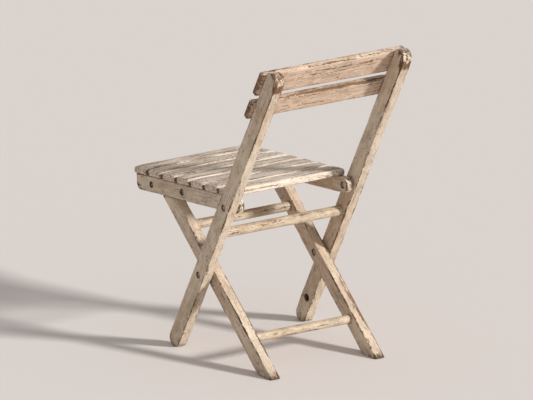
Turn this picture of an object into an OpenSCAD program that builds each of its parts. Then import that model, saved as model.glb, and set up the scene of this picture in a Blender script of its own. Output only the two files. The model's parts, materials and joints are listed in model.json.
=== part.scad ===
// Folding slatted side chair in painted wood.
// Two long posts lean back and carry the back slats. Two shorter legs cross
// them and turn on rivets. The slatted seat hinges on the posts and rests on
// the tops of the legs. The lower rung between the posts is lost, and its two
// sockets stand empty.
// The chair faces -Y and stands on z = 0. Left is +X.

/* [Posts] */
// Width over the outer faces of the two posts
post_spread = 416; // [380:1:520]
// Thickness of a post, across the chair
post_t = 28; // [22:0.5:36]
// Depth of a post, from its front edge to its rear edge
post_w = 45.4; // [36:0.2:56]
// Lean of the posts back from the vertical, in degrees
post_lean = 29; // [25:0.5:33]
// Length of a post above the leg rivet
post_up = 688; // [620:1:830]

/* [Legs] */
// Thickness of a leg, across the chair
leg_t = 28; // [23:0.5:36]
// Depth of a leg, from its front edge to its rear edge
leg_w = 42.6; // [35:0.2:52]
// Lean of the legs forward from the vertical, in degrees
leg_lean = 49.2; // [46:0.2:52]
// Height of the leg rivet above the floor
leg_pivot_h = 214.5; // [178:0.5:260]
// Radius worn on the front corner of a leg's foot
foot_r = 20; // [12:1:26]
// Sideways gap between a post and the leg or rail beside it
side_gap = 6; // [4:0.2:7.2]
// Depth worn off the round feet
foot_wear = 1.5; // [0.5:0.1:3]

/* [Seat] */
// Distance along a post from the leg rivet to the seat rivet
seat_pivot_up = 232.7; // [215:0.5:250]
// Droop of the seat towards its front, in degrees
seat_droop = 5.3; // [3:0.1:7]
// Length of a seat rail from the seat rivet to its front end
rail_len = 441; // [400:1:530]
// Thickness of a seat rail, across the chair
rail_t = 18; // [15:0.5:24]
// Height of a seat rail
rail_h = 41; // [34:0.5:49.5]
// Radius of the rail's lower front corner
rail_nose_r = 16; // [10:0.5:17]
// Thickness of a seat slat
seat_slat_t = 20; // [15:0.5:24]
// Gap between two seat slats
seat_slat_gap = 8; // [5:0.5:12]
// Distance from the seat rivet to the rear edge of the rearmost slat
seat_rear = 12; // [8:0.5:16]
// Overhang of the front slat past the rails
seat_nose = 7; // [4:0.5:12]
// Radius of a seat slat's long edges
seat_slat_r = 5; // [3:0.5:7]
// Room on each side between the slats and the posts
slat_play = 2; // [1:0.2:4]
// Distance from the seat rivet to the middle cross rung
middle_rung_at = 237; // [200:1:270]
// Distance from the seat rivet to the front cross rung
front_rung_at = 375; // [335:1:385]
// Diameter of the two cross rungs under the seat
cross_rung_d = 22; // [18:0.5:26]

/* [Back] */
// Thickness of the two back slats
back_slat_t = 18; // [14:0.5:22]
// Width of the upper back slat
upper_slat_w = 73; // [60:1:88]
// Width of the lower back slat
lower_slat_w = 58; // [48:1:70]
// Gap between the two back slats
back_slat_gap = 21; // [17:0.5:26]
// Distance from a post's top end down to the upper slat
back_slat_drop = 19; // [12:0.5:26]
// Distance that the back slats reach past the posts' outer faces
back_slat_overhang = 11; // [0:0.5:16]
// Radius of a back slat's long edges
back_slat_r = 7; // [4:0.5:7]

/* [Rungs] */
// Diameter of the rung between the posts
post_rung_d = 27; // [22:0.5:33]
// Distance along a post from the leg rivet up to the post rung
post_rung_up = 140; // [132:1:160]
// Diameter of the upper rung between the legs
upper_leg_rung_d = 26; // [21:0.5:32]
// Distance along a leg from its rivet up to the upper rung
upper_leg_rung_up = 146; // [130:1:155]
// Diameter of the lower rung between the legs
lower_leg_rung_d = 24; // [20:0.5:29]
// Distance along a leg from its rivet down to the lower rung
lower_leg_rung_down = 209; // [175:1:251]
// Diameter of the empty sockets of the lost rung
lost_rung_d = 21; // [17:0.5:26]
// Distance along a post from the leg rivet down to the empty sockets
lost_rung_down = 167; // [140:1:200]
// Depth of every rung socket
socket_depth = 16; // [12:0.5:20]

/* [Rivets and fixings] */
// Diameter of a rivet's shank
rivet_d = 8; // [6:0.5:10]
// Diameter of a rivet's head
rivet_head_d = 13; // [11:0.5:15]
// Thickness of a rivet's head
rivet_head_t = 3; // [2:0.1:4]
// Diameter of the recess round a head
recess_d = 17; // [16:0.5:20]
// Depth of the recess round a head
recess_depth = 5; // [4.5:0.1:6]
// Diameter of a washer
washer_d = 24; // [18:0.5:30]

/* [Hidden] */

// Clearances
run_fit = 0.05;    // round a rivet's shank
rung_fit = 0.05;   // round a rung in its socket
end_play = 0.3;    // between faces that slide on each other
rung_play = 0.5;   // between a rung's end and the floor of its socket

// Fixings
seat_slats = 7;
nail_d = 2.6;
nail_head_d = 5;
nail_head_t = 1.2;
nail_len = 38;
nail_shares = [0.28, 0.72];  // places of the two nails over a seat slat's width
screw_d = 4.5;
screw_head_d = 9;
screw_head_t = 3;
back_screw_len = 36;
back_screw_shares = [0.25, 0.75];  // places of the two screws over the upper slat's width
cross_screw_len = 32;

$fn = 64;

// Sideways places, measured from the middle plane
post_out = post_spread / 2;
post_in = post_out - post_t;
leg_out = post_in - side_gap;
leg_in = leg_out - leg_t;
rail_in = leg_out - rail_t;
slat_half = post_in - slat_play;

// Seat slats share the length between the nose and the rear edge
seat_front = rail_len + seat_nose;
slat_pitch = (seat_front - seat_rear + seat_slat_gap) / seat_slats;
slat_w = slat_pitch - seat_slat_gap;
seat_top = rail_h / 2 + seat_slat_t;

// The origin lies under the middle of the chair's whole length
front_reach = seat_pivot_up * sin(post_lean)
    - (seat_front - seat_slat_r) * cos(seat_droop)
    - (seat_top - seat_slat_r) * sin(seat_droop) - seat_slat_r;
rear_reach = (post_up - post_w / 2) * sin(post_lean) + post_w / 2;
leg_pivot_y = -(front_reach + rear_reach) / 2;

// Distances along the members, from the leg rivet
post_down = (leg_pivot_h - post_w / 2 + foot_wear) / cos(post_lean);
foot_axis_x = foot_r - leg_w / 2;
foot_axis_y = (foot_r - foot_wear - leg_pivot_h - foot_axis_x * sin(leg_lean)) / cos(leg_lean);
upper_slat_top = post_up - back_slat_drop;
upper_slat_low = upper_slat_top - upper_slat_w;
lower_slat_top = upper_slat_low - back_slat_gap;
lower_slat_low = lower_slat_top - lower_slat_w;

// Paint colours
cream = "#d9c6a6";
shaded_cream = "#cbb896";
chipped_cream = "#cdb491";
dirty_steel = "#6f5a45";

// Turns a side view, drawn with x to the rear and y up, to stand across X
module side_view() {
    rotate([90, 0, 90]) children();
}

// A side view drawn round the leg rivet, with y up along the post
module on_post() {
    translate([0, leg_pivot_y, leg_pivot_h]) rotate([-post_lean, 0, 0]) children();
}

// The same, with y up along the leg
module on_leg() {
    translate([0, leg_pivot_y, leg_pivot_h]) rotate([leg_lean, 0, 0]) children();
}

// The same round the seat rivet, with x to the rear along the seat
module on_seat() {
    on_post() translate([0, 0, seat_pivot_up]) rotate([post_lean + seat_droop, 0, 0]) children();
}

// A round bar across the chair, from x0 to x1, at the side-view place (back, up)
module cross_bar(x0, x1, d, back = 0, up = 0) {
    translate([x0, back, up]) rotate([0, 90, 0]) cylinder(h = x1 - x0, d = d);
}

// Removes all that lies below the floor
module on_floor() {
    reach = 2 * post_spread;
    difference() {
        children();
        translate([-reach, -reach, -reach]) cube([2 * reach, 2 * reach, reach]);
    }
}

// Section of a slat with round long edges, from [x, y] over w by t
module slat_section(x, y, w, t, r) {
    translate([x + r, y]) square([w - 2 * r, t]);
    translate([x, y + r]) square([w, t - 2 * r]);
    for (cx = [x + r, x + w - r], cy = [y + r, y + t - r])
        translate([cx, cy]) circle(r);
}

// Outline of a straight member with round ends at y = low and y = high
module round_ended(low, high, w) {
    translate([-w / 2, low]) square([w, high - low]);
    translate([0, low]) circle(d = w);
    translate([0, high]) circle(d = w);
}

// Outline of a leg, which runs on past the cuts at its top and on the floor.
// The front corner of its foot is worn round.
module leg_outline(reach) {
    translate([foot_axis_x, foot_axis_y]) circle(foot_r);
    polygon([[leg_w / 2, reach], [-leg_w / 2, reach], [-leg_w / 2, foot_axis_y], [foot_axis_x, foot_axis_y],
             [foot_axis_x - foot_r * sin(leg_lean), foot_axis_y - foot_r * cos(leg_lean)],
             [leg_w / 2, -reach]]);
}

module post() {
    color(cream) difference() {
        on_floor() on_post() translate([post_in, 0, 0]) side_view()
            linear_extrude(post_t) round_ended(-post_down, post_up - post_w / 2, post_w);
        on_post() {
            for (up = [0, seat_pivot_up]) {
                cross_bar(post_in - 1, post_out + 1, rivet_d + 2 * run_fit, 0, up);
                cross_bar(post_out - recess_depth, post_out + 1, recess_d, 0, up);
            }
            cross_bar(post_in - 1, post_in + socket_depth, post_rung_d + 2 * rung_fit, 0, post_rung_up);
            cross_bar(post_in - 1, post_in + socket_depth, lost_rung_d, 0, -lost_rung_down);
        }
    }
}

module leg() {
    reach = 2 * post_spread;
    color(cream) difference() {
        on_floor() on_leg() translate([leg_in, 0, 0]) side_view()
            linear_extrude(leg_t) leg_outline(reach / 2);
        // The top is cut to bear under the seat rail
        on_seat() translate([0, -reach, -rail_h / 2 - end_play]) cube([reach, 2 * reach, reach]);
        on_leg() {
            cross_bar(leg_in - 1, leg_out + 1, rivet_d + 2 * run_fit);
            cross_bar(leg_in - 1, leg_in + recess_depth, recess_d);
            cross_bar(leg_in - 1, leg_in + socket_depth, upper_leg_rung_d + 2 * rung_fit, 0, upper_leg_rung_up);
            cross_bar(leg_in - 1, leg_in + socket_depth, lower_leg_rung_d + 2 * rung_fit, 0, -lower_leg_rung_down);
        }
    }
}

module seat_rail() {
    color(shaded_cream) difference() {
        on_seat() translate([rail_in, 0, 0]) side_view() linear_extrude(rail_t) {
            circle(d = rail_h);
            translate([rail_nose_r - rail_len, -rail_h / 2]) square([rail_len - rail_nose_r, rail_h]);
            translate([-rail_len, rail_nose_r - rail_h / 2]) square([rail_len, rail_h - rail_nose_r]);
            translate([rail_nose_r - rail_len, rail_nose_r - rail_h / 2]) circle(rail_nose_r);
        }
        on_seat() {
            cross_bar(rail_in - 1, leg_out + 1, rivet_d + 2 * run_fit);
            cross_bar(rail_in - 1, rail_in + recess_depth, recess_d);
            for (at = [middle_rung_at, front_rung_at])
                cross_bar(leg_out - recess_depth, leg_out + 1, recess_d, -at);
        }
    }
}

// A slat from x = -half to x = half, in the frame of its parent
module slat(half, x, y, w, t, r) {
    translate([-half, 0, 0]) side_view() linear_extrude(2 * half) slat_section(x, y, w, t, r);
}

module upper_back_slat() {
    color(chipped_cream) on_post()
        slat(post_out + back_slat_overhang, -post_w / 2 - back_slat_t, upper_slat_low,
            back_slat_t, upper_slat_w, back_slat_r);
}

module lower_back_slat() {
    color(chipped_cream) on_post()
        slat(post_out + back_slat_overhang, -post_w / 2 - back_slat_t, lower_slat_low,
            back_slat_t, lower_slat_w, back_slat_r);
}

// Seat slats are counted from the front
module seat_slat(i) {
    color(chipped_cream) on_seat()
        slat(slat_half, (i - 1) * slat_pitch - seat_front, rail_h / 2, slat_w, seat_slat_t, seat_slat_r);
}

module post_rung() {
    half = post_in + socket_depth - rung_play;
    color(cream) on_post() cross_bar(-half, half, post_rung_d, 0, post_rung_up);
}

module upper_leg_rung() {
    half = leg_in + socket_depth - rung_play;
    color(cream) on_leg() cross_bar(-half, half, upper_leg_rung_d, 0, upper_leg_rung_up);
}

module lower_leg_rung() {
    half = leg_in + socket_depth - rung_play;
    color(cream) on_leg() cross_bar(-half, half, lower_leg_rung_d, 0, -lower_leg_rung_down);
}

// The cross rungs butt against the inner faces of the rails
module cross_rung(at) {
    color(shaded_cream) on_seat() cross_bar(-rail_in, rail_in, cross_rung_d, -at);
}

// A rivet through the post and the member beside it, whose inner face is at x = inner
module rivet(inner) {
    outer_floor = post_out - recess_depth;
    inner_floor = inner + recess_depth - end_play;
    color(dirty_steel) {
        cross_bar(inner_floor - rivet_head_t, outer_floor + rivet_head_t, rivet_d);
        cross_bar(outer_floor, outer_floor + rivet_head_t, rivet_head_d);
        cross_bar(inner_floor - rivet_head_t, inner_floor, rivet_head_d);
    }
}

module leg_rivet() {
    on_post() rivet(leg_in);
}

module seat_rivet() {
    on_post() translate([0, 0, seat_pivot_up]) rivet(rail_in);
}

// A washer lies against the post and keeps the moving member off it
module washer(up) {
    color(dirty_steel) on_post() difference() {
        cross_bar(leg_out + end_play, post_in, washer_d, 0, up);
        cross_bar(leg_out, post_in + 1, rivet_d + 2 * run_fit, 0, up);
    }
}

// A wood screw along -x from its head's face at x = 0
module wood_screw(len, head_t) {
    translate([-head_t, 0, 0]) cross_bar(0, head_t, screw_head_d);
    cross_bar(-len, 0, screw_d);
}

// Two screws through each end of the upper slat and one through the lower
module back_slat_screws() {
    front = -post_w / 2 - back_slat_t;
    color(dirty_steel) on_post()
        for (side = [-1, 1], up = [upper_slat_low + upper_slat_w * back_screw_shares[0],
                                   upper_slat_low + upper_slat_w * back_screw_shares[1],
                                   lower_slat_low + lower_slat_w / 2])
            translate([side * (post_out - post_t / 2), front, up]) rotate([0, 0, -90])
                wood_screw(back_screw_len, screw_head_t);
}

// One screw through each rail into each end of each cross rung
module cross_rung_screws() {
    head_face = leg_out - recess_depth + screw_head_t;
    color(dirty_steel) on_seat()
        for (at = [middle_rung_at, front_rung_at], side = [0, 1])
            mirror([side, 0, 0]) translate([head_face, -at, 0]) wood_screw(cross_screw_len, screw_head_t);
}

// Two nails through each end of every seat slat into the rail
module seat_nails() {
    color(dirty_steel) on_seat()
        for (i = [1 : seat_slats], side = [-1, 1], part = nail_shares)
            translate([side * (leg_out + rail_in) / 2,
                       (i - 1) * slat_pitch + part * slat_w - seat_front, seat_top]) {
                translate([0, 0, -nail_head_t]) cylinder(h = nail_head_t, d = nail_head_d);
                translate([0, 0, -nail_len]) cylinder(h = nail_len, d = nail_d);
            }
}

module left_post() post();
module right_post() mirror([1, 0, 0]) post();
module left_leg() leg();
module right_leg() mirror([1, 0, 0]) leg();
module left_seat_rail() seat_rail();
module right_seat_rail() mirror([1, 0, 0]) seat_rail();
module left_leg_rivet() leg_rivet();
module right_leg_rivet() mirror([1, 0, 0]) leg_rivet();
module left_seat_rivet() seat_rivet();
module right_seat_rivet() mirror([1, 0, 0]) seat_rivet();
module left_leg_washer() washer(0);
module right_leg_washer() mirror([1, 0, 0]) washer(0);
module left_seat_washer() washer(seat_pivot_up);
module right_seat_washer() mirror([1, 0, 0]) washer(seat_pivot_up);
module front_cross_rung() cross_rung(front_rung_at);
module middle_cross_rung() cross_rung(middle_rung_at);

left_post();
right_post();
upper_back_slat();
lower_back_slat();
post_rung();
back_slat_screws();
left_leg_rivet();
right_leg_rivet();
left_seat_rivet();
right_seat_rivet();
left_leg_washer();
right_leg_washer();
left_seat_washer();
right_seat_washer();
left_leg();
right_leg();
upper_leg_rung();
lower_leg_rung();
left_seat_rail();
right_seat_rail();
for (i = [1 : seat_slats])
    seat_slat(i);
front_cross_rung();
middle_cross_rung();
cross_rung_screws();
seat_nails();
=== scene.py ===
import json
import math

import bpy
import numpy as np
from mathutils import Matrix, Vector

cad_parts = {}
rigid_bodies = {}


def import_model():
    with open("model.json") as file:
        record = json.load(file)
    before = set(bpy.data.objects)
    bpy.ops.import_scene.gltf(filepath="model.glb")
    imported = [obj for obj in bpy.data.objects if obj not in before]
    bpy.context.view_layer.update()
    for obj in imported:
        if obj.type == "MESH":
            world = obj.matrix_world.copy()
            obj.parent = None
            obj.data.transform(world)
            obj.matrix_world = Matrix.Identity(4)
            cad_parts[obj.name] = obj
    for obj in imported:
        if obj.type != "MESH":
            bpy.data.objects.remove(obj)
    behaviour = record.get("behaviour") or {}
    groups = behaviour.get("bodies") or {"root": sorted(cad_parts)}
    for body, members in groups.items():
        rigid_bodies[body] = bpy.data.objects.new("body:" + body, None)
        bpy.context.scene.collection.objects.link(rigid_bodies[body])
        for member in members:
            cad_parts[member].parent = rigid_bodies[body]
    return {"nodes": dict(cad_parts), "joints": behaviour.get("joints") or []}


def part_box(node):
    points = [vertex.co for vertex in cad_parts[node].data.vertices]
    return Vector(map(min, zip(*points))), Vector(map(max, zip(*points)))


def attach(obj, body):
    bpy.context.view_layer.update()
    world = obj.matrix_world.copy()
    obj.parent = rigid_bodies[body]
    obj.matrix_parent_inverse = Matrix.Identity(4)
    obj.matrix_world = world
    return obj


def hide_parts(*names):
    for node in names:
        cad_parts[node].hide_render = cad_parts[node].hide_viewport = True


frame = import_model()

scene = bpy.context.scene
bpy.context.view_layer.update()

# ---- Studio ----
# A pale floor, one large soft lamp from behind the chair on its right side,
# and a pale sky that fills the shaded faces. A long lens looks down at the back.
joints = {joint["name"]: joint for joint in frame["joints"]}
leg_pivot = np.array(joints["leg_fold"]["pos_m"])
seat_pivot = np.array(joints["seat_fold"]["pos_m"])
chair_middle = Vector(leg_pivot) + Vector((0.0, 0.038, 0.2231))
camera_distance = 40.0
aim_right, aim_up = -0.0202, -0.0490


def toward(turn, lift):
    """The direction from the chair to a place at an azimuth and an elevation in degrees."""
    turn, lift = math.radians(turn), math.radians(lift)
    return Vector((math.sin(turn) * math.cos(lift), -math.cos(turn) * math.cos(lift), math.sin(lift)))


toward_camera = toward(145.52, 16.51)
picture_right = Vector((0.0, 0.0, 1.0)).cross(toward_camera).normalized()
picture_up = toward_camera.cross(picture_right)
aim = chair_middle + picture_right * aim_right + picture_up * aim_up
camera = bpy.data.objects.new("camera", bpy.data.cameras.new("camera"))
camera.data.lens = 1071.4
camera.data.sensor_width = 36.0
camera.location = aim + toward_camera * camera_distance
camera.rotation_euler = toward_camera.to_track_quat("Z", "Y").to_euler()
camera.data.clip_end = 80.0
scene.collection.objects.link(camera)
scene.camera = camera

lamp = bpy.data.objects.new("key_lamp", bpy.data.lights.new("key_lamp", "SUN"))
lamp.data.angle = math.radians(8.0)
lamp.data.energy = 3.65
lamp.rotation_euler = toward(212, 25).to_track_quat("Z", "Y").to_euler()
scene.collection.objects.link(lamp)

sky = bpy.data.worlds.new("pale_sky")
sky.use_nodes = True
backdrop = sky.node_tree.nodes["Background"]
backdrop.inputs["Color"].default_value = (0.80, 0.79, 0.78, 1)
sky_light, sky_seen = 0.53, 0.84
ray = sky.node_tree.nodes.new("ShaderNodeLightPath")
any_ray = ray.outputs["Is Camera Ray"]
for kind in ("Is Glossy Ray", "Is Transmission Ray"):
    either = sky.node_tree.nodes.new("ShaderNodeMath")
    either.operation = "MAXIMUM"
    sky.node_tree.links.new(any_ray, either.inputs[0])
    sky.node_tree.links.new(ray.outputs[kind], either.inputs[1])
    any_ray = either.outputs[0]
brightness = sky.node_tree.nodes.new("ShaderNodeMapRange")
brightness.inputs["To Min"].default_value = sky_light
brightness.inputs["To Max"].default_value = sky_seen
sky.node_tree.links.new(any_ray, brightness.inputs["Value"])
sky.node_tree.links.new(brightness.outputs["Result"], backdrop.inputs["Strength"])
scene.world = sky
scene.view_settings.view_transform = "Standard"

floor_reach = 30.0
floor_mesh = bpy.data.meshes.new("floor")
floor_corners = ((-1, -1), (1, -1), (1, 1), (-1, 1))
floor_points = [(x * floor_reach, y * floor_reach, 0.0) for x, y in floor_corners]
floor_mesh.from_pydata(floor_points, [], [(0, 1, 2, 3)])
floor = bpy.data.objects.new("floor", floor_mesh)
scene.collection.objects.link(floor)
plaster = bpy.data.materials.new("floor_plaster")
plaster.use_nodes = True
plaster_shader = plaster.node_tree.nodes["Principled BSDF"]
plaster_shader.inputs["Base Color"].default_value = (0.76, 0.70, 0.665, 1)
plaster_shader.inputs["Roughness"].default_value = 0.9
floor_mesh.materials.append(plaster)

# ---- Posts ----
# Two sawn beech posts with half-round ends lean back and carry the whole chair.
# Each is one board, bored for two rivets and two rungs, under thick cream oil paint
# that has chipped off its edges and flaked off its top.
across = np.array([1.0, 0.0, 0.0])


def board_axes(grain, thickness):
    """Rows along the grain, over the width and through the thickness of a board."""
    grain = grain / np.linalg.norm(grain)
    thickness = thickness / np.linalg.norm(thickness)
    return np.array([grain, np.cross(thickness, grain), thickness])


def extents(node, axes, origin):
    """Lowest and highest place of a CAD node, measured along a board's own axes."""
    points = np.array([vertex.co for vertex in frame["nodes"][node].data.vertices])
    local = (points - origin) @ axes.T
    return local.min(axis=0), local.max(axis=0)


def centre_of(node):
    """The middle of a CAD node's box."""
    return np.array(sum(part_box(node), Vector())) / 2


def stations(low, high, step):
    """Places from low to high, close together near both ends, where the edges are round."""
    near = np.array([0.0, 0.0006, 0.0013, 0.0022, 0.0034, 0.0050])
    count = max(2, round((high - low - 2 * near[-1]) / step) + 1)
    inner = np.linspace(low + near[-1], high - near[-1], count)
    return np.concatenate([low + near[:-1], inner, (high - near[:-1])[::-1]])


def box_skin(lists):
    """Points and outward quads on the six faces of a box, divided at the given places."""
    points, quads, total = [], [], 0
    for axis in range(3):
        second, third = (axis + 1) % 3, (axis + 2) % 3
        for end in (0, -1):
            grid = np.zeros((len(lists[second]), len(lists[third]), 3))
            grid[..., axis] = lists[axis][end]
            grid[..., second] = lists[second][:, None]
            grid[..., third] = lists[third][None, :]
            index = np.arange(grid[..., 0].size).reshape(grid.shape[:2]) + total
            ring = [index[:-1, :-1], index[1:, :-1], index[1:, 1:], index[:-1, 1:]]
            if end == 0:
                ring.reverse()
            quads.append(np.stack(ring, axis=-1).reshape(-1, 4))
            points.append(grid.reshape(-1, 3))
            total += len(points[-1])
    points, quads = np.concatenate(points), np.concatenate(quads)
    kept, place = np.unique(points.round(7), axis=0, return_inverse=True)
    return kept, place.reshape(-1)[quads]


def wander(points, size, seed):
    """Smooth noise from -1 to 1 over points, with lumps about size across."""
    always_positive, cell_count = 500.0, 32
    cells = points / np.array(size) + always_positive
    low = np.floor(cells).astype(int)
    part = cells - low
    part = part * part * (3 - 2 * part)
    lattice = np.random.default_rng(seed).uniform(-1, 1, (cell_count,) * 3)
    total = np.zeros(len(points))
    for corner in np.ndindex(2, 2, 2):
        weight = np.prod(np.where(corner, part, 1 - part), axis=1)
        i, j, k = ((low + corner) % cell_count).T
        total += weight * lattice[i, j, k]
    return total


def round_over(points, half, edge, corners):
    """Rounds a box's skin: its long edges by edge, its outline by one radius for each corner."""
    p = points.copy()
    inset = np.minimum(half[0] - abs(p[:, 0]), half[1] - abs(p[:, 1]))
    over_rim = np.maximum(edge - inset, 0)
    over_face = np.maximum(abs(p[:, 2]) - (half[2] - edge), 0)
    span = np.maximum(np.hypot(over_rim, over_face), 1e-9)
    on_edge = (over_rim > 0) & (over_face > 0)
    pull = np.where(on_edge, edge - edge * over_rim / span, inset)
    rise = np.where(on_edge, half[2] - edge + edge * over_face / span, abs(p[:, 2]))
    p[:, 0] = np.clip(p[:, 0], pull - half[0], half[0] - pull)
    p[:, 1] = np.clip(p[:, 1], pull - half[1], half[1] - pull)
    p[:, 2] = np.sign(p[:, 2]) * rise
    for (end, side), radius in corners.items():
        a = end * p[:, 0] - (half[0] - radius)
        b = side * p[:, 1] - (half[1] - radius)
        inside = (a > 0) & (b > 0)
        squeeze = np.where(inside, np.maximum(a, b) / np.maximum(np.hypot(a, b), 1e-9), 1)
        p[:, 0] = np.where(inside, end * (half[0] - radius + a * squeeze), p[:, 0])
        p[:, 1] = np.where(inside, side * (half[1] - radius + b * squeeze), p[:, 1])
    return p


def new_piece(name, points, faces):
    mesh = bpy.data.meshes.new(name)
    mesh.from_pydata(points.tolist(), [], faces.tolist() if hasattr(faces, "tolist") else faces)
    piece = bpy.data.objects.new(name, mesh)
    scene.collection.objects.link(piece)
    return piece


def turned(name, outline, base, axis, sides=48):
    """A closed lathe shape from (radius, distance) pairs along an axis that starts at base."""
    turn = Vector(axis).to_track_quat("Z", "Y").to_matrix()
    angles = np.arange(sides) * math.tau / sides
    points = [Vector(base) + turn @ Vector((0, 0, outline[0][1]))]
    for radius, distance in outline[1:-1]:
        ring_points = [(radius * math.cos(angle), radius * math.sin(angle), distance) for angle in angles]
        points += [Vector(base) + turn @ Vector(point) for point in ring_points]
    points.append(Vector(base) + turn @ Vector((0, 0, outline[-1][1])))
    rings = len(outline) - 2
    faces = [(0, 1 + (i + 1) % sides, 1 + i) for i in range(sides)]
    for ring in range(rings - 1):
        first = 1 + ring * sides
        pairs = [(first + i, first + (i + 1) % sides) for i in range(sides)]
        faces += [(here, after, after + sides, here + sides) for here, after in pairs]
    last = 1 + (rings - 1) * sides
    faces += [(last + i, last + (i + 1) % sides, len(points) - 1) for i in range(sides)]
    return new_piece(name, np.array([tuple(point) for point in points]), faces)


def cut_away(piece, cutters):
    """Takes the cutters' shapes out of a piece and removes the cutters."""
    for cutter in cutters:
        modifier = piece.modifiers.new("cut", "BOOLEAN")
        modifier.operation = "DIFFERENCE"
        modifier.solver = "MANIFOLD"
        modifier.object = cutter
    depsgraph = bpy.context.evaluated_depsgraph_get()
    mesh = bpy.data.meshes.new_from_object(piece.evaluated_get(depsgraph))
    piece.modifiers.clear()
    piece.data = mesh
    for cutter in cutters:
        bpy.data.objects.remove(cutter)


def bore_cutter(face, inward, width, depth):
    """A drill for a blind hole with a worn rim, from a point on the board's face."""
    rim, proud = 0.0008, 0.004
    outline = [(0, depth), (width / 2, depth), (width / 2, rim), (width / 2 + rim, 0),
               (width / 2 + rim, -proud), (0, -proud)]
    return turned("drill", outline[::-1], face, inward)


def store(mesh, name, values):
    """Keeps one number, or one row of three, on each point of a mesh."""
    kind, key = ("FLOAT_VECTOR", "vector") if values.ndim == 2 else ("FLOAT", "value")
    field = mesh.attributes.new(name, kind, "POINT")
    field.data.foreach_set(key, values.astype(np.float32).ravel())


def weather(piece, axes, origin, low, high, seed, bare=(), holes=(), end_wear=0.5, painted_end_shade=0.0):
    """Dents the wood, then stores its grain, its wear and a mask of dirt and painted shade, which grows down
    each hole and paints shade on the ends.

    Each bare place is its middle, its reach and an amount; each hole is as for bore_cutter.
    """
    edge_reach, end_reach, foot_reach, painted_end_shade_reach = 0.0028, 0.012, 0.004, 0.002
    hole_margin, shade_and_dirt_depth = 0.0012, 0.002
    broad_dent, small_dent = 0.00035, 0.00025
    sharp_angle = math.radians(48)
    mesh = piece.data
    count = len(mesh.vertices)
    points, normals = np.zeros(count * 3), np.zeros(count * 3)
    mesh.vertices.foreach_get("co", points)
    points = points.reshape(-1, 3)
    mesh.vertices.foreach_get("normal", normals)
    normals = normals.reshape(-1, 3)
    local = (points - origin) @ axes.T
    middle, half = (low + high) / 2, (high - low) / 2
    depth = np.sort(np.maximum(half - abs(local - middle), 0), axis=1)
    from_end = half[0] - abs(local[:, 0] - middle[0])
    wear = np.exp(-(depth[:, 0] + depth[:, 1]) / edge_reach)
    wear += end_wear * np.exp(-np.maximum(from_end, 0) / end_reach)
    wear += 0.5 * np.exp(-np.maximum(points[:, 2], 0) / foot_reach)
    for place, reach, amount in bare:
        wear += amount * np.exp(-(((local - np.array(place)) / np.array(reach)) ** 2).sum(axis=1))
    # Painted shade on the ends: the end faces are darkened as if they lay in shadow.
    pit = painted_end_shade * np.exp(-from_end / painted_end_shade_reach)
    # Dirt and painted shade grow deeper down each hole.
    for centre, direction, width, reach in holes:
        arm = points - np.array(centre)
        sunk = arm @ np.array(direction)
        from_axis = np.linalg.norm(arm - np.outer(sunk, direction), axis=1)
        in_hole = (from_axis < width / 2 + hole_margin) & (sunk < reach + hole_margin)
        pit = np.maximum(pit, in_hole * np.clip(sunk / shade_and_dirt_depth, 0, 1))
    dent = 0.5 + 0.5 * wander(local, (0.060, 0.022, 0.022), seed)
    dent = broad_dent * dent + small_dent * np.clip(wander(local, (0.020, 0.007, 0.007), seed + 1), 0, 1)
    points -= normals * (dent * (1 - pit))[:, None]
    points[:, 2] = np.maximum(points[:, 2], 0)
    mesh.vertices.foreach_set("co", points.ravel())
    away_from_others = np.array([0.37, 0.113, 0.171]) * seed
    store(mesh, "grain", local + away_from_others)
    store(mesh, "wear", np.clip(wear, 0, 2))
    store(mesh, "pit", pit)
    mesh.polygons.foreach_set("use_smooth", np.ones(len(mesh.polygons), bool))
    mesh.set_sharp_from_angle(angle=sharp_angle)
    mesh.update()


def carve_board(name, node, axes, origin, edge, chips, corners, seed,
                step=0.003, reshape=None, drills=(), bare=(), end_wear=0.5, painted_end_shade=0.0):
    """A sawn board in place of a CAD node. Its edges are rounded by edge and bitten by chips."""
    low, high = extents(node, axes, origin)
    half = (high - low) / 2
    skin, quads = box_skin([stations(-h, h, step) for h in half])
    broad_bites = np.clip(wander(skin, (0.040, 0.020, 0.020), seed + 2) - 0.15, 0, 1)
    small_bites = np.clip(wander(skin, (0.012, 0.010, 0.010), seed + 3) - 0.45, 0, 1)
    most_round = half[2] * 0.9
    radius = np.minimum(edge + chips * (broad_bites + 0.8 * small_bites), most_round)
    shape = round_over(skin, half, radius, corners)
    if reshape:
        shape = reshape(shape, half)
    local = shape + (low + high) / 2
    piece = new_piece(name, local @ axes + origin, quads)
    if drills:
        cut_away(piece, [bore_cutter(*drill) for drill in drills])
    weather(piece, axes, origin, low, high, seed, bare, drills, end_wear, painted_end_shade)
    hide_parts(node)
    return piece


def finish_piece(piece, material, body):
    """Gives a piece its one material and the body that it moves with."""
    piece.data.materials.clear()
    piece.data.materials.append(material)
    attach(piece, body)


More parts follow.
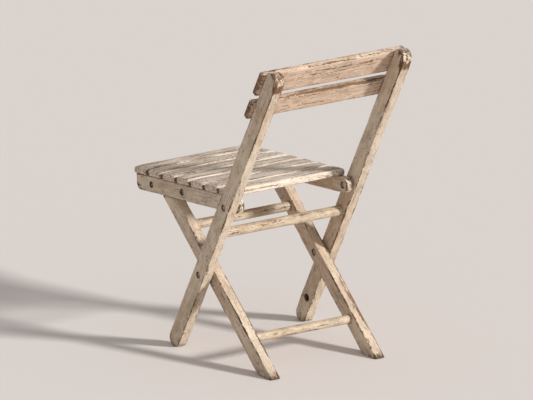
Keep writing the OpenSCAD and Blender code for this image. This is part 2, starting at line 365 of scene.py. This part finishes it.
class Wire:
    """One output of a node, in a material or in a geometry tree. Sums with it add Math nodes."""

    def __init__(self, tree, output=None):
        self.tree = tree
        self.output = output

    def node(self, kind, settings, sockets, output=0):
        """Adds a node: first its settings, then the values or links of its sockets."""
        made = self.tree.nodes.new(kind)
        for name, value in settings.items():
            if name == "stops":
                while len(made.color_ramp.elements) < len(value):
                    made.color_ramp.elements.new(1.0)
                for element, (place, tone) in zip(made.color_ramp.elements, value):
                    element.position = place
                    element.color = tone
            else:
                setattr(made, name, value)
        for name, value in sockets.items():
            if isinstance(value, Wire):
                self.tree.links.new(value.output, made.inputs[name])
            else:
                made.inputs[name].default_value = value
        return Wire(self.tree, made.outputs[output] if made.outputs else None)

    def sum(self, operation, first, second):
        return self.node("ShaderNodeMath", {"operation": operation}, {0: first, 1: second})

    def __add__(self, other):
        return self.sum("ADD", self, other)

    def __radd__(self, other):
        return self.sum("ADD", other, self)

    def __sub__(self, other):
        return self.sum("SUBTRACT", self, other)

    def __rsub__(self, other):
        return self.sum("SUBTRACT", other, self)

    def __mul__(self, other):
        return self.sum("MULTIPLY", self, other)

    def __rmul__(self, other):
        return self.sum("MULTIPLY", other, self)

    def __truediv__(self, other):
        return self.sum("DIVIDE", self, other)

    def parts(self, vector):
        """The three numbers of a vector."""
        outputs = self.node("ShaderNodeSeparateXYZ", {}, {0: vector}).output.node.outputs
        return [Wire(self.tree, output) for output in outputs]

    def rise(self, low, high):
        """0 at low, 1 at high, and smooth between."""
        return self.node("ShaderNodeMapRange", {"interpolation_type": "SMOOTHSTEP"},
                         {"Value": self, "From Min": low, "From Max": high}, "Result")

    def blend(self, first, second):
        """The first colour where this is 0, and the second where it is 1."""
        return self.node("ShaderNodeMix", {"data_type": "RGBA"}, {0: self, 6: first, 7: second}, 2)


def colour(code):
    """A hex colour as linear red, green, blue and alpha."""
    linear = []
    for place in (1, 3, 5):
        part = int(code[place:place + 2], 16) / 255
        linear.append(part / 12.92 if part <= 0.04045 else ((part + 0.055) / 1.055) ** 2.4)
    return (*linear, 1.0)


def peeling_paint(name, coat, stain, undercoat, wood, loss, streaks, edge_loss, grime=0.5):
    """Old oil paint on wood: loss is the bare share, streaks how far the bare places follow the grain."""
    material = bpy.data.materials.new(name)
    material.use_nodes = True
    tree = material.node_tree
    shader = tree.nodes["Principled BSDF"]
    start = Wire(tree)
    grain = start.node("ShaderNodeAttribute", {"attribute_name": "grain"}, {}, "Vector")
    wear = start.node("ShaderNodeAttribute", {"attribute_name": "wear"}, {}, "Fac")
    pit = start.node("ShaderNodeAttribute", {"attribute_name": "pit"}, {}, "Fac")
    place = start.node("ShaderNodeTexCoord", {}, {}, "Object")
    height = start.node("ShaderNodeSeparateXYZ", {}, {0: place}, "Z")

    def stretched(along, over):
        """Places on the board, counted in lumps of this length and width."""
        return start.node("ShaderNodeVectorMath", {"operation": "MULTIPLY"},
                          {0: grain, 1: (1 / along, 1 / over, 1 / over)})

    def lumps(along, over, detail, roughness=0.55):
        return start.node("ShaderNodeTexNoise", {}, {"Vector": stretched(along, over), "Scale": 1.0,
                                                     "Detail": detail, "Roughness": roughness}, "Fac")

    # Where the paint holds: patches and flakes on sound wood, bands and fibres on open grain
    fibre = lumps(along=0.110, over=0.0022, detail=5)
    patch = lumps(along=0.042, over=0.010, detail=6, roughness=0.62)
    flake = lumps(along=0.010, over=0.0032, detail=5, roughness=0.6)
    band = lumps(along=0.160, over=0.0060, detail=4)
    damp = lumps(along=0.240, over=0.090, detail=3)
    hold = patch * (0.45 - 0.35 * streaks) + flake * (0.35 - 0.15 * streaks)
    hold = hold + band * (0.20 + 0.25 * streaks)
    hold = hold + fibre * (0.25 * streaks) - wear * (0.16 * edge_loss) - pit * 0.2
    limit = 0.36 + 0.3 * loss + 0.08 * streaks
    painted = hold.rise(limit, limit + 0.008)
    primed = hold.rise(limit - 0.026, limit - 0.018)
    # A thin painted shadow line along the edge of each flake.
    flake_edge_shadow = hold.rise(limit - 0.012, limit) * (1 - hold.rise(limit + 0.004, limit + 0.012))

    # Specks along the grain, long splits, and a net of fine cracks in the paint
    fleck = lumps(along=0.0085, over=0.0020, detail=2).rise(0.63, 0.68)
    fleck = fleck * lumps(along=0.045, over=0.020, detail=2).rise(0.38, 0.56)
    split = lumps(along=0.140, over=0.0028, detail=3).rise(0.655, 0.70)
    crackle = start.node("ShaderNodeTexVoronoi", {"feature": "DISTANCE_TO_EDGE"},
                         {"Vector": stretched(0.012, 0.0040), "Scale": 1.0, "Randomness": 1.0}, "Distance")
    craze = (1 - crackle.rise(0.02, 0.07)) * lumps(along=0.05, over=0.03, detail=2).rise(0.45, 0.6)

    # The colours, from the bare wood outwards
    wood_stops = list(zip((0.33, 0.47, 0.58, 0.70), map(colour, wood)))
    timber = start.node("ShaderNodeValToRGB", {"stops": wood_stops},
                        {0: fibre * 0.65 + damp * 0.35}, "Color")
    stained = (damp * 0.5 + lumps(along=0.030, over=0.011, detail=4) * 0.5).rise(0.42, 0.60)
    coat_tone = stained.blend(colour(coat), colour(stain))
    coat_tone = (fibre.rise(0.46, 0.66) * (0.32 + 0.5 * streaks)).blend(coat_tone, colour(undercoat))
    surface = (primed * 0.9).blend(timber, colour(undercoat))
    surface = painted.blend(surface, coat_tone)
    # Painted shadow: a dark line along the edge of every flake of paint.
    surface = (flake_edge_shadow * 0.80).blend(surface, colour(wood[0]))
    surface = (craze * painted * 0.45).blend(surface, colour(wood[1]))
    surface = (fleck * 0.75).blend(surface, colour(wood[0]))
    surface = (split * (0.20 + 0.60 * streaks)).blend(surface, colour(wood[0]))

    # Dirt from the floor and in patches; dirt and painted shade in holes; painted shade at slat ends and
    # gaps
    splashed = 1 - height.rise(0.0, 0.034)
    dirt_and_shade = splashed * (0.20 + 0.60 * lumps(along=0.02, over=0.012, detail=3).rise(0.40, 0.60))
    # The stored mask adds dirt and painted shade in holes, and painted shade at slat ends and in gaps.
    dirt_and_shade = dirt_and_shade * grime + pit * 0.55
    dirt_and_shade = dirt_and_shade + lumps(along=0.070, over=0.030, detail=5).rise(0.56, 0.74) * (grime * 0.40)
    dirt_and_shade = start.sum("MINIMUM", dirt_and_shade, 0.85)
    # The dirt colour also paints shade: in holes, on back slat ends and low in the seat gaps.
    surface = dirt_and_shade.blend(surface, colour("#4a3d30"))
    relief = painted * 1.0 + primed * 0.4 + fibre * 0.5 - split * 1.4 - craze * 0.5 - fleck * 0.8
    bump = start.node("ShaderNodeBump", {},
                      {"Height": relief, "Strength": 0.8, "Distance": 0.0008}, "Normal")
    tree.links.new(surface.output, shader.inputs["Base Color"])
    tree.links.new((0.88 - painted * 0.20).output, shader.inputs["Roughness"])
    tree.links.new(bump.output, shader.inputs["Normal"])
    shader.inputs["Specular IOR Level"].default_value = 0.35
    return material


beech = ("#33261b", "#624834", "#8b664a", "#ab8a68")
post_paint = peeling_paint("post_cream_paint", coat="#dacab4", stain="#c9b29a", undercoat="#b39a81",
                           wood=beech, loss=0.06, streaks=0.15, edge_loss=1.0, grime=0.65)

post_origin = leg_pivot
post_line = seat_pivot - leg_pivot
seat_rivet_up = np.linalg.norm(post_line)
post_axes = board_axes(post_line, across)
up_post = post_axes[0]
recess_across, recess_deep = 0.017, 0.005
rivet_hole = 0.0081
drill_past = 0.002
socket_deep = 0.016
post_rung_socket = 0.0271
lost_rung_socket, lost_rung_down = 0.021, 0.167
post_rung_up = np.dot(centre_of("post_rung") - post_origin, up_post)

for side, node in ((1, "left_post"), (-1, "right_post")):
    low, high = extents(node, post_axes, post_origin)
    outer, inner = (high[2], low[2]) if side > 0 else (low[2], high[2])
    half_depth = (high[1] - low[1]) / 2
    drills = []
    for up in (0.0, seat_rivet_up):
        on_outer = post_origin + up_post * up + across * outer
        drills.append((on_outer, -side * across, recess_across, recess_deep))
        drills.append((on_outer, -side * across, rivet_hole, high[2] - low[2] + drill_past))
    for up, width in ((post_rung_up, post_rung_socket), (-lost_rung_down, lost_rung_socket)):
        drills.append((post_origin + up_post * up + across * inner, side * across, width, socket_deep))
    top = high[0]
    middle = (low[2] + high[2]) / 2
    round_top = ((top - 0.010, -0.010, middle), (0.018, 0.018, 0.030), 0.45)
    band_behind = ((top - 0.033, -half_depth, middle), (0.011, 0.009, 0.030), 1.8)
    rear_edge = ((top - 0.110, -half_depth, high[2]), (0.110, 0.0022, 0.0022), 0.9)
    post = carve_board(node + "_timber", node, post_axes, post_origin, edge=0.0026, chips=0.0035,
                       corners={(end, flank): half_depth for end in (-1, 1) for flank in (-1, 1)},
                       seed=3 if side > 0 else 11, drills=drills, bare=(round_top, band_behind, rear_edge))
    finish_piece(post, post_paint, "frame")

# ---- Back slats ----
# Two flat boards are screwed to the fronts of the posts and tie them together.
# Their long edges and ends are worn round, and the paint there is rubbed to the wood.
# Painted shade darkens their end faces.
slat_paint = peeling_paint("back_slat_paint", coat="#d6bea7", stain="#c1a58c", undercoat="#a88a71",
                           wood=("#33261d", "#6a4d38", "#9c7a58", "#b7966f"),
                           loss=0.13, streaks=0.48, edge_loss=0.7)
front = np.cross(across, up_post)
back_axes = board_axes(across, front)
for node, seed, top_rub in (("upper_back_slat", 21, 0.0), ("lower_back_slat", 34, 0.9)):
    low, high = extents(node, back_axes, post_origin)
    top_edge = ((0.0, high[1] - 0.002, low[2] + 0.003), (0.16, 0.004, 0.005), top_rub)
    # The end faces get painted shade, darker as if in shadow.
    slat = carve_board(node + "_board", node, back_axes, post_origin, edge=0.0062, chips=0.003,
                       corners={(end, flank): 0.007 for end in (-1, 1) for flank in (-1, 1)},
                       seed=seed, step=0.0035, bare=(top_edge,), end_wear=0.0, painted_end_shade=0.40)
    finish_piece(slat, slat_paint, "frame")

# ---- Legs ----
# Two shorter beech boards cross the posts inside them and turn on the lower rivets.
# Each foot is sawn flat to the floor, and each top is sawn to bear under a seat rail.
leg_paint = peeling_paint("leg_cream_paint", coat="#dac7b0", stain="#c9b199", undercoat="#b1977e",
                          wood=beech, loss=0.10, streaks=0.25, edge_loss=0.95, grime=0.6)
leg_axes = board_axes(centre_of("upper_leg_rung") - centre_of("lower_leg_rung"), across)
up_leg = leg_axes[0]
seat_rearward = (seat_pivot - centre_of("front_cross_rung")) * (0, 1, 1)
seat_rearward = seat_rearward / np.linalg.norm(seat_rearward)
seat_up = np.cross(across, seat_rearward)
top_shear = np.dot(leg_axes[1], seat_up) / np.dot(up_leg, seat_up)
foot_shear = leg_axes[1][2] / up_leg[2]
leg_sockets = {"upper_leg_rung": 0.0261, "lower_leg_rung": 0.0241}


def slanted_ends(shape, half):
    """Shears both ends of a leg, the upper to the slant of the seat and the lower to the floor."""
    for end, shear, reach in ((1, top_shear, 0.060), (-1, foot_shear, 0.120)):
        flat_end = end * (half[0] - abs(shear) * half[1])
        share = np.clip((end * shape[:, 0] - (half[0] - reach)) / reach, 0, 1)
        shape[:, 0] += share * (flat_end - end * half[0] - shear * shape[:, 1])
    return shape


for side, node in ((1, "left_leg"), (-1, "right_leg")):
    low, high = extents(node, leg_axes, leg_pivot)
    inner = low[2] if side > 0 else high[2]
    half_depth = (high[1] - low[1]) / 2
    drills = [(leg_pivot + across * inner, side * across, recess_across, recess_deep),
              (leg_pivot + across * inner, side * across, rivet_hole, high[2] - low[2] + drill_past)]
    for rung, width in leg_sockets.items():
        drills.append((centre_of(rung) + across * inner, side * across, width, socket_deep))
    middle = (low[2] + high[2]) / 2
    foot = ((low[0] + 0.003, low[1], middle), (0.012, 0.007, 0.022), 0.8)
    knock = ((-0.045, half_depth, low[2]), (0.010, 0.010, 0.010), 0.8)
    rear_edge = ((-0.180, -half_depth, low[2]), (0.130, 0.0060, 0.0100), 0.35 if side > 0 else 0.8)
    leg = carve_board(node + "_timber", node, leg_axes, leg_pivot, edge=0.0026, chips=0.0038,
                      corners={(-1, -1): 0.007, (-1, 1): 0.013, (1, -1): 0.001, (1, 1): 0.001},
                      seed=47 if side > 0 else 58, reshape=slanted_ends, drills=drills,
                      bare=(foot, knock, rear_edge))
    finish_piece(leg, leg_paint, "legs")

# ---- Rungs ----
# Three turned rungs are glued into blind sockets in the posts and legs, and two more
# are held between the seat rails by screws. The paint on them has worn along the grain.
rung_paint = peeling_paint("rung_cream_paint", coat="#d2c0a9", stain="#c0aa8f", undercoat="#ac9379",
                           wood=beech, loss=0.09, streaks=0.40, edge_loss=0.6, grime=0.6)


def geometry_tree(name, sizes):
    """A geometry tree with one named input for each size, and its Group Input as a Wire."""
    tree = bpy.data.node_groups.new(name, "GeometryNodeTree")
    for label, kind in sizes.items():
        tree.interface.new_socket(label, in_out="INPUT", socket_type="NodeSocket" + kind)
    tree.interface.new_socket("Geometry", in_out="OUTPUT", socket_type="NodeSocketGeometry")
    group = tree.nodes.new("NodeGroupInput")
    return Wire(tree), {label: Wire(tree, group.outputs[label]) for label in sizes}


def close_tree(start, shape, material):
    """Ends a tree: smooth shading, instances made real, one material and the output."""
    shape = start.node("GeometryNodeSetShadeSmooth", {}, {"Geometry": shape})
    shape = start.node("GeometryNodeRealizeInstances", {}, {"Geometry": shape})
    shape = start.node("GeometryNodeSetMaterial", {}, {"Geometry": shape, "Material": material})
    start.node("NodeGroupOutput", {}, {0: shape})


def grown(name, tree, sizes, turn=Matrix.Identity(4), mesh=None):
    """The plain mesh that a tree makes from its sizes, put in place by turn."""
    piece = bpy.data.objects.new(name, mesh or bpy.data.meshes.new(name))
    scene.collection.objects.link(piece)
    modifier = piece.modifiers.new("shape", "NODES")
    modifier.node_group = tree
    for item in tree.interface.items_tree:
        if item.in_out == "INPUT" and item.name in sizes:
            modifier[item.identifier] = sizes[item.name]
    depsgraph = bpy.context.evaluated_depsgraph_get()
    mesh = bpy.data.meshes.new_from_object(piece.evaluated_get(depsgraph))
    piece.modifiers.clear()
    piece.data = mesh
    mesh.transform(turn)
    return piece


def vector_of(x, y, z):
    return start.node("ShaderNodeCombineXYZ", {}, {"X": x, "Y": y, "Z": z})


def scaled(vector, share):
    return start.node("ShaderNodeVectorMath", {"operation": "SCALE"}, {0: vector, "Scale": share})


def remember(mesh, kind, name, value):
    """Keeps a value under a name on each point of the tree's mesh."""
    return start.node("GeometryNodeStoreNamedAttribute", {"data_type": kind, "domain": "POINT"},
                      {"Geometry": mesh, "Name": name, "Value": value})


start, size = geometry_tree("turned_rung", {"Length": "Float", "Width": "Float",
                                            "Wear": "Float", "Seed": "Float"})
bar = start.node("GeometryNodeMeshCylinder", {"fill_type": "TRIANGLE_FAN"},
                 {"Vertices": 40, "Side Segments": 130, "Fill Segments": 5,
                  "Radius": size["Width"] * 0.5, "Depth": size["Length"]}, "Mesh")
here = start.node("GeometryNodeInputPosition", {}, {})
across_x, across_y, along = start.parts(here)
bar = remember(bar, "FLOAT_VECTOR", "grain", vector_of(along + size["Seed"], across_y, across_x))
rubbed = start.node("ShaderNodeTexNoise", {"noise_dimensions": "4D"},
                    {"Vector": here, "W": size["Seed"], "Scale": 22.0, "Detail": 3.0}, "Fac")
from_axis = vector_of(across_x, across_y, 0.0)
outward = start.node("ShaderNodeVectorMath", {"operation": "NORMALIZE"}, {0: from_axis})
shrink = scaled(outward, rubbed * size["Wear"] * -1.0)
bar = start.node("GeometryNodeSetPosition", {}, {"Geometry": bar, "Offset": shrink})
bare_share = start.node("ShaderNodeMapRange", {}, {"Value": rubbed, "From Min": 0.5, "From Max": 0.75},
                        "Result")
bar = remember(bar, "FLOAT", "wear", bare_share * 0.6)
close_tree(start, bar, rung_paint)

for node, body, seed in (("post_rung", "frame", 1.3), ("upper_leg_rung", "legs", 2.9),
                         ("lower_leg_rung", "legs", 4.1), ("front_cross_rung", "seat", 5.7),
                         ("middle_cross_rung", "seat", 7.2)):
    low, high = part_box(node)
    lies_across = Matrix.Translation((low + high) / 2) @ Matrix.Rotation(math.radians(90), 4, "Y")
    rung_sizes = {"Length": high.x - low.x, "Width": high.z - low.z, "Wear": 0.0012, "Seed": seed}
    rung = grown(node + "_dowel", start.tree, rung_sizes, lies_across)
    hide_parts(node)
    finish_piece(rung, rung_paint, body)

# ---- Rivets and washers ----
# Four steel rivets pass through the posts into the legs and seat rails, with thick washers
# between. Their heads, spread round a hollow centre, sit in recesses under paint and rust.


def rusty_steel(name, metal, rust, paint, cover):
    """Bare steel that is mostly brown rust, with a share of cream paint left on it."""
    material = bpy.data.materials.new(name)
    material.use_nodes = True
    tree = material.node_tree
    shader = tree.nodes["Principled BSDF"]
    start = Wire(tree)
    place = start.node("ShaderNodeTexCoord", {}, {}, "Object")

    def lumps(scale, detail):
        return start.node("ShaderNodeTexNoise", {},
                          {"Vector": place, "Scale": scale, "Detail": detail}, "Fac")

    crust = lumps(420.0, 5.0).rise(0.40, 0.62)
    painted = lumps(260.0, 4.0).rise(0.62 - 0.3 * cover, 0.64 - 0.3 * cover)
    tone = painted.blend(crust.blend(colour(metal), colour(rust)), colour(paint))
    relief = crust + painted * 1.5 + lumps(900.0, 3.0) * 0.6
    bump = start.node("ShaderNodeBump", {},
                      {"Height": relief, "Strength": 0.7, "Distance": 0.0004}, "Normal")
    tree.links.new(tone.output, shader.inputs["Base Color"])
    tree.links.new(((1 - crust) * (1 - painted) * 0.75).output, shader.inputs["Metallic"])
    tree.links.new((crust * 0.25 + painted * 0.15 + 0.5).output, shader.inputs["Roughness"])
    tree.links.new(bump.output, shader.inputs["Normal"])
    return material


rivet_steel = rusty_steel("rivet_rusty_steel", metal="#6e6459", rust="#4a3122", paint="#b8a48c",
                          cover=0.75)
rivet_shank, rivet_head, head_rise = 0.004, 0.0065, 0.003
head_outline = ((1.0, 0.0), (0.97, 0.35), (0.82, 0.80), (0.58, 1.0), (0.42, 0.90), (0.34, 0.40), (0.0, 0.25))
for side, flank in ((1, "left"), (-1, "right")):
    for joint, up in (("leg", 0.0), ("seat", seat_rivet_up)):
        low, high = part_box(f"{flank}_{joint}_rivet")
        length = high.x - low.x
        head = [(rivet_head * width_share, head_rise * (1 - rise_share))
                for width_share, rise_share in head_outline]
        shank = [(rivet_shank, head_rise), (rivet_shank, length - head_rise)]
        outline = head[::-1] + shank + [(radius, length - sunk) for radius, sunk in head]
        start_point = post_origin + up_post * up + across * low.x
        rivet = turned(f"{flank}_{joint}_rivet_steel", outline, start_point, across, sides=32)
        rivet.data.polygons.foreach_set("use_smooth", np.ones(len(rivet.data.polygons), bool))
        rivet.data.set_sharp_from_angle(angle=math.radians(50))
        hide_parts(f"{flank}_{joint}_rivet")
        finish_piece(rivet, rivet_steel, "frame")
        frame["nodes"][f"{flank}_{joint}_washer"].data.materials[0] = rivet_steel

# ---- Seat rails ----
# Two boards carry the seat. Each turns on an upper rivet at its rear, which is half
# round, and rests on a leg top. Recesses on the outside hold the cross rungs' screws.
rail_axes = board_axes(seat_rearward, across)
rail_nose, rail_corner = 0.016, 0.0015
screw_hole = 0.0046
for side, node in ((1, "left_seat_rail"), (-1, "right_seat_rail")):
    low, high = extents(node, rail_axes, seat_pivot)
    outer, inner = (high[2], low[2]) if side > 0 else (low[2], high[2])
    half_height = (high[1] - low[1]) / 2
    drills = [(seat_pivot + across * inner, side * across, recess_across, recess_deep),
              (seat_pivot + across * inner, side * across, rivet_hole, high[2] - low[2] + drill_past)]
    for rung in ("front_cross_rung", "middle_cross_rung"):
        on_outer = centre_of(rung) + across * outer
        drills.append((on_outer, -side * across, recess_across, recess_deep))
        drills.append((on_outer, -side * across, screw_hole, high[2] - low[2] + drill_past))
    rail = carve_board(node + "_board", node, rail_axes, seat_pivot, edge=0.0022, chips=0.0025,
                       corners={(1, -1): half_height, (1, 1): half_height,
                                (-1, -1): rail_nose, (-1, 1): rail_corner},
                       seed=63 if side > 0 else 74, drills=drills)
    finish_piece(rail, post_paint, "seat")

# ---- Seat slats ----
# Seven thin boards are nailed across the rails. Years of rain have crowned them, eaten
# their ends round and opened the grain, and the paint on top is worn thin along it.
seat_paint = peeling_paint("seat_slat_paint", coat="#eaddcd", stain="#dfcdb9", undercoat="#d3baa3",
                           wood=("#40332a", "#8e7460", "#ba9f88", "#d2bda7"),
                           loss=0.0, streaks=0.85, edge_loss=1.0, grime=0.2)
start, size = geometry_tree("weathered_slat", {
    "Length": "Float", "Width": "Float", "Thickness": "Float", "Edge radius": "Float", "End wear": "Float",
    "Crown": "Float", "Painted gap shade": "Float", "Seed": "Float"})


def vector_sum(operation, first, second):
    return start.node("ShaderNodeVectorMath", {"operation": operation}, {0: first, 1: second})


def absolute(value):
    return start.sum("ABSOLUTE", value, 0.0)


def fading(distance, rate):
    """1 at a distance of 0, and dying away at this rate for each metre."""
    return start.sum("EXPONENT", distance * -rate, 0.0)


whole = vector_of(size["Length"], size["Width"], size["Thickness"])
board = start.node("GeometryNodeMeshCube", {},
                   {"Size": whole, "Vertices X": 150, "Vertices Y": 30, "Vertices Z": 11}, "Mesh")
here = start.node("GeometryNodeInputPosition", {}, {})
along, over, through = start.parts(here)
grain_place = vector_of(along + size["Seed"] * 1.7, over + size["Seed"] * 0.9, through)
board = remember(board, "FLOAT_VECTOR", "grain", grain_place)


def slat_noise(along_size, over_size, detail):
    spread = vector_sum("MULTIPLY", here, (1 / along_size, 1 / over_size, 1 / over_size))
    return start.node("ShaderNodeTexNoise", {"noise_dimensions": "4D"},
                      {"Vector": spread, "W": size["Seed"] * 7.0, "Scale": 1.0, "Detail": detail}, "Fac")


# Rounded edges: each point is held inside a smaller core and pushed out from it by the radius
eaten_reach = 0.045
from_end = size["Length"] * 0.5 - absolute(along)
near_end = from_end.rise(eaten_reach, 0.0)
radius = size["Edge radius"] * (slat_noise(0.045, 0.02, 3.0) * 0.9 + 0.55)
radius = radius + near_end * size["End wear"] * 0.35
radius = start.sum("MINIMUM", radius, size["Thickness"] * 0.48)
core = vector_sum("SUBTRACT", scaled(whole, 0.5), vector_of(radius, radius, radius))
held = vector_sum("MINIMUM", here, core)
held = vector_sum("MAXIMUM", held, vector_sum("MULTIPLY", core, (-1.0, -1.0, -1.0)))
arm = vector_sum("NORMALIZE", vector_sum("SUBTRACT", here, held), (0.0, 0.0, 0.0))
rounded = vector_sum("ADD", held, scaled(arm, radius))

# Eaten ends, and an upper face that is crowned and sunk along the softer grain
eaten = slat_noise(0.5, 0.030, 2.0) * size["End wear"] * near_end
pulled = start.sum("SIGN", along, 0.0) * eaten * -1.0
share_over = over / (size["Width"] * 0.5)
upper_side = start.sum("GREATER_THAN", through, 0.0)
grain_sink = 0.0012
sink = share_over * share_over * size["Crown"] + slat_noise(0.090, 0.006, 2.0) * grain_sink
sink = (sink + near_end * near_end * size["End wear"] * 0.30) * upper_side * -1.0
board = start.node("GeometryNodeSetPosition", {},
                   {"Geometry": board, "Position": vector_sum("ADD", rounded, vector_of(pulled, 0.0, sink))})

# Wear on the edges, ends and top, and painted shade low on the sides in the gaps between slats
from_side = size["Width"] * 0.5 - absolute(over)
from_face = size["Thickness"] * 0.5 - absolute(through)
wear = fading(from_side + from_face, 300.0) * 0.7 + fading(from_end, 200.0) * 0.15
wear = wear + fading(from_end, 28.0) * slat_noise(0.060, 0.016, 2.0) * 0.15
wear = wear + start.sum("GREATER_THAN", through, size["Thickness"] * 0.42) * 0.22
board = remember(board, "FLOAT", "wear", wear)
# Painted shade: the lower sides of a slat, facing the gap to the next, are darkened as if in shadow.
low_down = start.node("ShaderNodeMapRange", {}, {"Value": through, "From Min": size["Thickness"] * 0.30,
                                                 "From Max": 0.0}, "Result")
in_gap = start.node("ShaderNodeMapRange", {}, {"Value": from_side, "From Min": 0.003, "From Max": 0.0},
                    "Result")
board = remember(board, "FLOAT", "pit", low_down * in_gap * size["Painted gap shade"])
close_tree(start, board, seat_paint)


def rows_to_matrix(axes, origin):
    """The matrix that puts a shape drawn along a board's axes in its place."""
    return Matrix.Translation(Vector(origin)) @ Matrix([list(row) for row in axes]).transposed().to_4x4()


slat_axes = board_axes(across, seat_up)
slat_count = 7
for number in range(1, slat_count + 1):
    node = f"seat_slat_{number}"
    low, high = extents(node, slat_axes, seat_pivot)
    length, width, thickness = high - low
    centre = seat_pivot + ((low + high) / 2) @ slat_axes
    # All slats but the last get painted shade low on their sides.
    slat = grown(node + "_board", start.tree,
                 {"Length": length, "Width": width, "Thickness": thickness, "Edge radius": 0.0045,
                  "End wear": 0.0042, "Crown": 0.0012, "Painted gap shade": 0.7 if number < slat_count else 0.0,
                  "Seed": 0.83 * number},
                 rows_to_matrix(slat_axes, centre))
    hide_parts(node)
    finish_piece(slat, seat_paint, "seat")

# ---- Seat nails ----
# Two wire nails hold each end of every seat slat to its rail. The wood has worn down
# round their flat heads, which are black with rust.
nail_steel = rusty_steel("nail_rusty_steel", metal="#54493f", rust="#35241a", paint="#a8937a", cover=0.15)
start, size = geometry_tree("driven_fixings", {"Points": "Geometry", "Template": "Object", "Tilt": "Float",
                                               "Seed": "Int", "Material": "Material"})
facing = start.node("GeometryNodeInputNamedAttribute", {"data_type": "FLOAT_VECTOR"}, {"Name": "facing"},
                    "Attribute")
lowest = vector_of(size["Tilt"] * -1.0, size["Tilt"] * -1.0, 0.0)
highest = vector_of(size["Tilt"], size["Tilt"], math.tau)
loose = start.node("FunctionNodeRandomValue", {"data_type": "FLOAT_VECTOR"},
                   {"Min": lowest, "Max": highest, "Seed": size["Seed"]}, "Value")
stance = start.node("FunctionNodeAlignRotationToVector", {"axis": "Z"}, {"Vector": facing}, "Rotation")
turn = start.node("FunctionNodeEulerToRotation", {}, {"Euler": loose}, "Rotation")
stance = start.node("FunctionNodeRotateRotation", {"rotation_space": "LOCAL"},
                    {"Rotation": stance, "Rotate By": turn}, "Rotation")
single = start.node("GeometryNodeObjectInfo", {}, {"Object": size["Template"]}, "Geometry")
fixings = start.node("GeometryNodeInstanceOnPoints", {}, {"Points": size["Points"], "Instance": single,
                                                          "Rotation": stance}, "Instances")
close_tree(start, fixings, size["Material"])
fixing_tree = start.tree


def drive(node, body, template, places, facing, tilt, seed, metal):
    """Puts a copy of a template at each place, its head turned to face outwards."""
    points = bpy.data.meshes.new(node)
    points.from_pydata([tuple(place) for place in places], [], [])
    store(points, "facing", np.array(facing))
    piece = grown(node + "_steel", fixing_tree, {"Template": template, "Tilt": tilt, "Seed": seed,
                                                 "Material": metal}, mesh=points)
    bpy.data.objects.remove(template)
    piece.data.set_sharp_from_angle(angle=math.radians(40))
    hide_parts(node)
    finish_piece(piece, metal, body)


nail_outline = [(0.0, -0.037), (0.0013, -0.035), (0.0013, -0.0013), (0.0019, -0.0012), (0.0025, -0.0008),
                (0.0023, -0.0003), (0.0012, 0.0), (0.0, 0.0)]
nail_shares = (0.28, 0.72)
nail_proud, probe_height = 0.0004, 0.02
bpy.context.view_layer.update()
places = []
for number in range(1, slat_count + 1):
    low, high = extents(f"seat_slat_{number}", slat_axes, seat_pivot)
    slat = bpy.data.objects[f"seat_slat_{number}_board"]
    for rail in ("left_seat_rail", "right_seat_rail"):
        for share in nail_shares:
            on_top = np.array([centre_of(rail)[0], high[1] + (low[1] - high[1]) * share, high[2]])
            above = seat_pivot + on_top @ slat_axes
            hit, spot = slat.ray_cast(Vector(above + seat_up * probe_height), Vector(-seat_up))[:2]
            sunk = np.dot(above - np.array(spot), seat_up) if hit else 0.0
            places.append(above - seat_up * max(sunk - nail_proud, 0.0))
nail = turned("nail", nail_outline, (0, 0, 0), (0, 0, 1), sides=14)
drive("seat_nails", "seat", nail, places, [seat_up] * len(places), 0.05, 5, nail_steel)

# ---- Cross rung screws ----
# A slotted steel screw at the floor of each recess in the seat rails passes through the
# rail into the end of a cross rung. Its head is under old paint and rust.
screw_steel = rusty_steel("screw_rusty_steel", metal="#6a5f54", rust="#46301f", paint="#b3a087", cover=0.55)


def slotted_screw(length):
    """A wood screw with a domed head and a sawn slot, its head's top at the origin."""
    shank, taper = 0.00225, 0.010
    outline = [(0.0, -length), (0.0006, -length), (shank, taper - length), (shank, -0.0030),
               (0.0041, -0.0028), (0.0045, -0.0020), (0.0043, -0.0012), (0.0030, -0.0004), (0.0, 0.0)]
    screw = turned("screw", outline, (0, 0, 0), (0, 0, 1), sides=28)
    slot = [np.array([-0.006, 0.006]), np.array([-0.0006, 0.0006]), np.array([-0.0013, 0.002])]
    cut_away(screw, [new_piece("saw", *box_skin(slot))])
    return screw


screws_low, screws_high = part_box("cross_rung_screws")
places, facing = [], []
for rung in ("front_cross_rung", "middle_cross_rung"):
    for x, outwards in ((screws_low.x, -across), (screws_high.x, across)):
        places.append(centre_of(rung) * (0, 1, 1) + across * x)
        facing.append(outwards)
drive("cross_rung_screws", "seat", slotted_screw(0.031), places, facing, 0.0, 8, screw_steel)

# ---- Back slat screws ----
# Six of the same screws go through the fronts of the back slats into the posts, two at
# each end of the wide upper slat and one at each end of the lower.
screws_low, screws_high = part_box("back_slat_screws")
head_radius = 0.0045
places = []
for node, shares in (("upper_back_slat", (0.25, 0.75)), ("lower_back_slat", (0.5,))):
    low, high = extents(node, back_axes, post_origin)
    for x in (screws_low.x + head_radius, screws_high.x - head_radius):
        for share in shares:
            on_face = np.array([x, low[1] + (high[1] - low[1]) * share, high[2]])
            places.append(post_origin + on_face @ back_axes)
drive("back_slat_screws", "frame", slotted_screw(0.035), places, [front] * len(places), 0.0, 13,
      screw_steel)
